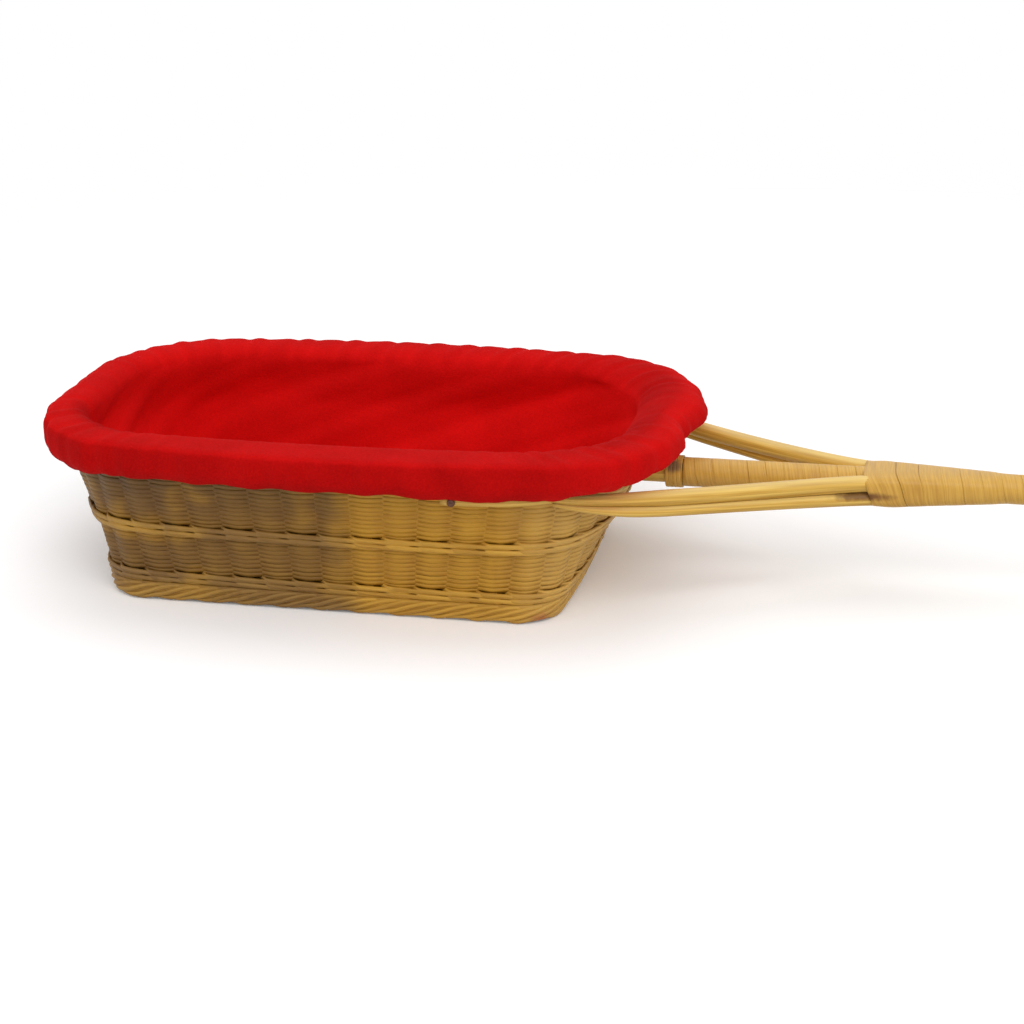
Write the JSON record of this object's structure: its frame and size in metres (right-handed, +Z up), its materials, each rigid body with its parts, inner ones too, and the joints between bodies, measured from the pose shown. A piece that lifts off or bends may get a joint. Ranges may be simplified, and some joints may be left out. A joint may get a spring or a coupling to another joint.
{
  "type": "long-handled collection basket",
  "caption": "Oval wicker collection basket with a lift-out red felt liner, on a long cane-wrapped handle that three arms join to one end.",
  "frame": {"origin": "the middle of the basket's flat underside, on the surface it stands on", "axes": "+X along the handle, away from the basket; +Y across the basket; +Z up"},
  "size_m": [0.9711, 0.2164, 0.0955],
  "materials": {
    "wicker_weave": "varnished split willow, dull sheen",
    "wicker_stake": "varnished willow, dull sheen",
    "wicker_border": "varnished willow, dull sheen",
    "rattan_rod": "varnished rattan, satin",
    "cane_wrap": "glossy cane skin, satin",
    "felt": "matt red felt",
    "elastic": "knitted elastic band",
    "tack": "dark blued steel"
  },
  "bodies": {
    "basket": {"back_arm_lower_rod": "rattan_rod", "back_arm_tack": "tack", "back_arm_upper_rod": "rattan_rod", "base_mat": "wicker_weave", "corner_stake_01": "wicker_stake", "corner_stake_02": "wicker_stake", "corner_stake_03": "wicker_stake", "corner_stake_04": "wicker_stake", "corner_stake_05": "wicker_stake", "corner_stake_06": "wicker_stake", "corner_stake_07": "wicker_stake", "corner_stake_08": "wicker_stake", "corner_stake_09": "wicker_stake", "corner_stake_10": "wicker_stake", "corner_stake_11": "wicker_stake", "corner_stake_12": "wicker_stake", "cross_stake_01": "wicker_stake", "cross_stake_02": "wicker_stake", "cross_stake_03": "wicker_stake", "cross_stake_04": "wicker_stake", "cross_stake_05": "wicker_stake", "cross_stake_06": "wicker_stake", "cross_stake_07": "wicker_stake", "cross_stake_08": "wicker_stake", "cross_stake_09": "wicker_stake", "cross_stake_10": "wicker_stake", "cross_stake_11": "wicker_stake", "cross_stake_12": "wicker_stake", "end_binding": "cane_wrap", "foot_border": "wicker_border", "front_arm_lower_rod": "rattan_rod", "front_arm_tack": "tack", "front_arm_upper_rod": "rattan_rod", "handle_pole": "rattan_rod", "handle_wrap": "cane_wrap", "long_stake_1": "wicker_stake", "long_stake_2": "wicker_stake", "long_stake_3": "wicker_stake", "long_stake_4": "wicker_stake", "long_stake_5": "wicker_stake", "long_stake_6": "wicker_stake", "lower_weave": "wicker_weave", "middle_arm_wrap": "cane_wrap", "middle_wale_inner": "wicker_border", "middle_wale_outer": "wicker_border", "rim_border": "wicker_border", "upper_weave": "wicker_weave", "upset_wale_inner": "wicker_border", "upset_wale_outer": "wicker_border", "wall_binding": "cane_wrap"},
    "liner": {"liner_side": "felt", "liner_bottom": "felt", "liner_elastic": "elastic"}
  },
  "joints": [
    {"name": "liner_lift", "type": "slide", "parent": "basket", "child": "liner", "axis": [0, 0, 1], "range_m": [0, 0.12]}
  ]
}
